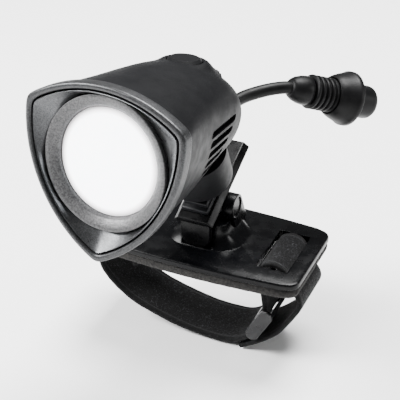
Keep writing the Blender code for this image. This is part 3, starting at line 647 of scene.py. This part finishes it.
# ---- strap, foam, lead ----
STRAP_ROUTE = (
    (-22.4, -8.0), (-22.4, -3.0), (-22.3, 1.8), (-23.3, 4.5), (-26.5, 5.7), (-29.7, 4.5), (-30.7, 1.8),
    (-31.0, -1.2), (-33.2, -3.6), (-35.2, -7.4), (-34.8, -11.8), (-31.9, -15.8), (-27.5, -19.8),
    (-22.2, -22.9), (-15.6, -25.3), (-8.6, -27.2), (0.0, -28.7), (8.0, -29.0), (13.4, -28.2),
    (17.6, -25.8), (20.6, -22.2), (23.2, -17.6), (24.2, -12.4), (23.5, -6.5), (22.6, -1.5), (22.3, 1.8),
    (23.3, 4.5), (26.5, 5.7), (29.7, 4.5), (30.7, 1.8), (31.4, -1.2), (34.4, -3.4), (36.0, -7.4),
    (33.6, -12.6), (29.8, -18.8), (26.0, -22.8), (22.4, -25.6), (19.2, -27.8), (16.2, -29.6))
BUCKLE_X, BUCKLE_Z, BUCKLE_TURN = 23.2, -17.6, 61.0


def wobble(*values):
    """Small repeatable unevenness, from -1 to 1."""
    total = 0.0
    for n, scale in enumerate((0.9, 2.3, 5.1)):
        total += math.sin(sum(v * scale * (1.0 + 0.37 * i) for i,
                              v in enumerate(values)) + n * 1.7) / (n + 1)
    return total / 1.8


def strap():
    path = [Vector(p) for p in smooth_path(STRAP_ROUTE, 8)]
    half = STRAP_WIDTH / 2
    across = [(-half, 0.0)]
    side = [(-half + 0.12, 0.5), (-half + 0.5, 0.72)]
    top = [(-half + 1.0 + k * (2 * half - 2.0) / 24, 0.75) for k in range(25)]
    profile = across + side + top + [(-a, b) for a, b in reversed(side)] + [(half, 0.0)]
    profile += [(a, -b) for a, b in reversed(side + top + [(-c, d) for c, d in reversed(side)])]
    rings = []
    for i, point in enumerate(path):
        run = (path[min(i + 1, len(path) - 1)] - path[max(i - 1, 0)]).normalized()
        normal = Vector((-run.y, run.x))
        ring = []
        for y, n in profile:
            n = n * STRAP_THICKNESS / 1.5 * (1.0 + 0.05 * wobble(i * 0.6, y * 1.3))
            spot = point + normal * n
            ring.append((spot.x, y + 0.10 * wobble(i * 0.45, 3.0 if y > 0 else 0.0), spot.y))
        rings.append(ring)
    show(loft("visual_strap", rings), WEBBING, "base", None, ["helmet_strap"], 60)


def bowed_plate(half_length, half_width, bow, radius, steps=40):
    def swell(x):
        return half_width + bow * math.cos(math.pi * x / (2 * half_length))
    edge = [half_length - radius - (half_length - radius) * 2 * k / steps for k in range(steps + 1)]
    points = arc((half_length - radius, half_width - radius), radius, 0, 60, 6)
    points += [(x, swell(x)) for x in edge[1:-1]]
    points += arc((-half_length + radius, half_width - radius), radius, 120, 180, 6)
    return points + [(x, -y) for x, y in reversed(points)]


def foam_pad():
    rings = []
    for k in range(9):
        share = k / 8
        bulge = 0.35 * math.sin(math.pi * share) - 0.15
        outline = bowed_plate(PLATE_HALF_LENGTH - 0.4 + bulge, PLATE_HALF_WIDTH - 0.4 + bulge, PLATE_BOW,
                              4.0, 90)
        rings.append([(x * (1 + 0.0015 * wobble(x, y, k)), y * (1 + 0.004 * wobble(x * 1.3, y, k * 2)),
                       FOAM_THICKNESS * share) for x, y in outline])
    pad = loft("visual_foam", rings)
    windows = []
    for side in (1, -1):
        middle, half = side * (SLOT_INNER + SLOT_OUTER) / 2, (SLOT_OUTER - SLOT_INNER) / 2 + 0.4
        windows.append(box("window", (2 * half, 2 * (SLOT_HALF_WIDTH + 0.4), 8.0), (middle, 0, 2.0)))
    combine(pad, "DIFFERENCE", *windows)
    show(pad, FOAM, "base", None, ["foam_pad"], 40)


CABLE_ROUTE = ((3.5, 0.2, 49.2), (3.8, 4.4, 49.4), (4.4, 9.2, 49.3), (6.1, 13.6, 49.7), (9.2, 17.6, 50.2),
               (13.0, 21.2, 50.6), (16.85, 24.05, 50.6), (19.5, 27.1, 49.1))
PLUG = along((17.2, 24.5, 50.5), (0.62, 0.70, -0.355))


def lead():
    ribs = [(0, 18.3), (5.2, 18.3), (5.6, 18.0), (5.65, 15.7)]
    for k in range(3, -1, -1):
        z = 8.0 + 1.9 * k
        ribs += [(4.85, z + 1.5), (5.35, z + 1.2), (5.6, z + 0.9), (5.6, z + 0.3), (5.35, z + 0.05),
                 (4.85, z)]
    body = turned("visual_plug_body", ribs + [(0, 7.9)])
    relief = [(0, 7.6), (4.3, 7.6), (4.7, 7.2), (4.75, 5.8), (4.5, 4.0),
              (3.9, 2.1), (3.2, 0.9), (2.7, 0.35), (2.1, 0.2), (0, 0.2)]
    boot = turned("visual_plug_relief", relief)
    collar = [(8.7, 24.2), (9.0, 23.9), (9.0, 22.6), (8.8, 22.2), (8.4, 21.4), (7.9, 19.8), (7.2, 17.9),
              (6.6, 16.8), (6.2, 16.4),
              (5.95, 16.6), (5.95, 23.6), (7.9, 23.8)]
    cuff = turned("visual_plug_collar", collar, 96, True)
    nose_line = [(0, 33.0), (3.9, 33.0), (4.8, 32.7), (5.3, 32.0), (5.5, 31.0), (5.5, 24.6), (5.8, 24.4),
                 (5.8, 18.7), (0, 18.7)]
    nose = turned("visual_plug_nose", nose_line)
    show(body, RUBBER, "head", PLUG, ["plug_body"], 50)
    show(boot, RUBBER, "head", PLUG, ["plug_relief"], 50)
    show(cuff, RUBBER, "collar", PLUG, ["plug_collar"], 50)
    show(nose, RUBBER, "head", PLUG, ["plug_nose"], 50)
    points = [Vector(p) * MM for p in smooth_path(CABLE_ROUTE, 8)]
    curve = bpy.data.curves.new("visual_lead", "CURVE")
    curve.dimensions = "3D"
    curve.bevel_depth = CABLE_DIAMETER / 2 * MM
    curve.bevel_resolution = 8
    curve.use_fill_caps = True
    line = curve.splines.new("POLY")
    line.points.add(len(points) - 1)
    for spot, point in zip(line.points, points):
        spot.co = (*point, 1.0)
    lead_object = bpy.data.objects.new("visual_lead", curve)
    bpy.context.scene.collection.objects.link(lead_object)
    lead_object.data.materials.append(RUBBER)
    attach(lead_object, "head")
    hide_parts("power_cable")


housing()
bezel()
funnel()
lens_ring()
window()
ball_foot()
arm()
base()
buckle()
strap()
foam_pad()
lead()


# ---- floor, light, camera ----
FLOOR_HEIGHT = -30.6


def stage_floor():
    bm = bmesh.new()
    bmesh.ops.create_grid(bm, x_segments=1, y_segments=1, size=3.0)
    floor = from_bmesh("floor", bm)
    floor.location.z = FLOOR_HEIGHT * MM
    m = Nodes("floor")
    m.shader.inputs["Base Color"].default_value = (0.93, 0.93, 0.93, 1)
    m.shader.inputs["Roughness"].default_value = 0.9
    floor.data.materials.append(m.material)


def lamp(name, place, size, power, colour=(1, 1, 1)):
    data = bpy.data.lights.new(name, "AREA")
    data.size = size
    data.energy = power
    data.color = colour
    light = bpy.data.objects.new(name, data)
    light.location = place
    light.rotation_euler = (Vector((0, 0, 0.03)) - Vector(place)).to_track_quat("-Z", "Y").to_euler()
    bpy.context.scene.collection.objects.link(light)


stage_floor()
world = bpy.data.worlds.new("studio")
world.use_nodes = True
world.node_tree.nodes["Background"].inputs["Color"].default_value = (1.0, 1.0, 1.0, 1)
world.node_tree.nodes["Background"].inputs["Strength"].default_value = 0.22
bpy.context.scene.world = world
lamp("key", (-0.50, -0.30, 0.45), 0.30, 16.0)
lamp("top", (0.05, 0.30, 0.80), 0.45, 26.0)
lamp("rim", (0.70, 0.20, 0.25), 0.25, 2.0)

camera_data = bpy.data.cameras.new("camera")
camera_data.lens = 99.0
camera_data.sensor_width = 36.0
camera_data.clip_start = 0.01
camera = bpy.data.objects.new("camera", camera_data)
AZIMUTH, ELEVATION = math.radians(24.26), math.radians(31.27)
CAMERA_PLACE = (0.12213, -0.27715, 0.20173)
camera.matrix_world = (Matrix.Translation(CAMERA_PLACE)
                       @ Euler((math.pi / 2 - ELEVATION, 0.0, AZIMUTH)).to_matrix().to_4x4())
bpy.context.scene.collection.objects.link(camera)
bpy.context.scene.camera = camera
